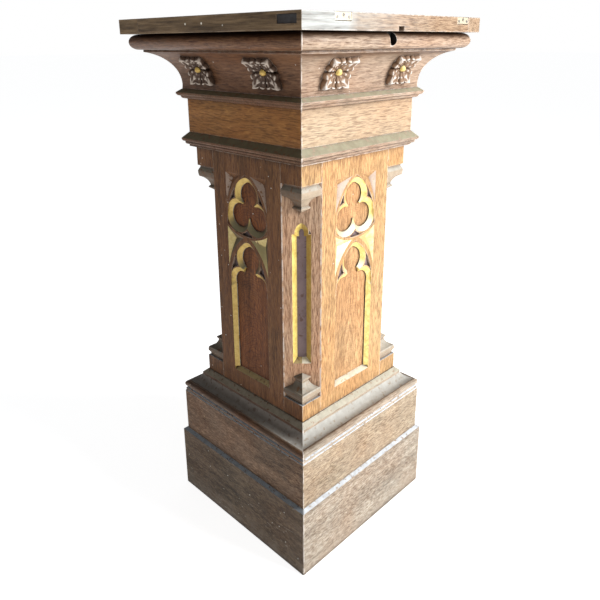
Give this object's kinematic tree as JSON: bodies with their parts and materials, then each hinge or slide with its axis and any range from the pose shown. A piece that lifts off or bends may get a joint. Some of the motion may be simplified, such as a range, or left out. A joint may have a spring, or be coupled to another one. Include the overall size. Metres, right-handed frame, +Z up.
{
  "type": "donation box",
  "caption": "Gothic oak pillar alms box with pierced tracery faces, a coved head, a lockable hinged lid with a coin slot, and a lift-out coin tin.",
  "frame": {"origin": "on the floor, under the pillar's vertical axis", "axes": "+Z up; -Y is the front, where the lock is; +X is to the right seen from the front"},
  "size_m": [0.5, 0.5, 1.0915],
  "materials": {
    "oak": "old waxed oak, open grain",
    "dusty_oak": "dry dusty oak, worn at the floor",
    "green_oak": "oak with rubbed sage green paint on the slopes",
    "weathered_oak": "bleached and stained oak boards",
    "limed_carving": "carved oak with rubbed white lime",
    "gilding": "dull gold leaf on wood",
    "pine": "bare sawn pine",
    "old_brass": "tarnished",
    "steel": "dull",
    "iron": "black with rust",
    "tinplate": "japanned sheet, worn edges"
  },
  "bodies": {
    "pillar": {"backing_panel_back": "oak", "backing_panel_front": "oak", "backing_panel_left": "oak", "backing_panel_right": "oak", "base_moulding_back": "dusty_oak", "base_moulding_front": "dusty_oak", "base_moulding_left": "dusty_oak", "base_moulding_right": "dusty_oak", "corner_post_back_left": "oak", "corner_post_back_right": "oak", "corner_post_front_left": "oak", "corner_post_front_right": "oak", "cove_back": "oak", "cove_front": "oak", "cove_left": "oak", "cove_right": "oak", "frieze_back": "oak", "frieze_front": "oak", "frieze_left": "oak", "frieze_right": "oak", "hinge_pins": "steel", "hinge_rail_leaves": "old_brass", "hinge_screws": "steel", "lock_case": "iron", "lower_plinth_back": "dusty_oak", "lower_plinth_front": "dusty_oak", "lower_plinth_left": "dusty_oak", "lower_plinth_right": "dusty_oak", "neck_moulding": "green_oak", "rosette_buttons": "gilding", "rosettes": "limed_carving", "shelf_bearers": "pine", "string_moulding": "green_oak", "top_rail_back": "oak", "top_rail_front": "oak", "top_rail_left": "oak", "top_rail_right": "oak", "tracery_back": "oak", "tracery_front": "oak", "tracery_left": "oak", "tracery_right": "oak", "upper_plinth_back": "dusty_oak", "upper_plinth_front": "dusty_oak", "upper_plinth_left": "dusty_oak", "upper_plinth_right": "dusty_oak", "well_shelf": "pine"},
    "lid": {"lid_board": "weathered_oak", "lid_cleat": "weathered_oak", "lid_back_rail": "weathered_oak", "coin_slot_plate": "old_brass", "edge_leaves": "old_brass", "edge_leaf_screws": "steel", "edge_side_plate": "iron", "hinge_lid_leaves": "old_brass", "lid_staple": "iron"},
    "lock_barrel": {"lock_barrel": "iron"},
    "lock_bolt": {"lock_bolt": "iron"},
    "coin_tin": {"coin_tin": "tinplate"}
  },
  "joints": [
    {"name": "lid_hinge", "type": "hinge", "parent": "pillar", "child": "lid", "pos_m": [0, 0.242, 1.06425], "axis": [-1, 0, 0], "range_deg": [0, 95]},
    {"name": "lock_key_turn", "type": "hinge", "parent": "pillar", "child": "lock_barrel", "pos_m": [-0.016, -0.2226, 1.052], "axis": [0, 1, 0], "range_deg": [0, 90]},
    {"name": "lock_bolt_slide", "type": "slide", "parent": "pillar", "child": "lock_bolt", "axis": [1, 0, 0], "range_m": [0, 0.008]},
    {"name": "coin_tin_lift", "type": "slide", "parent": "pillar", "child": "coin_tin", "axis": [0, 0, 1], "range_m": [0, 0.11]}
  ],
  "couplings": [
    {"joint": "lock_bolt_slide", "follows": "lock_key_turn", "m_per_rad": 0.00509}
  ]
}
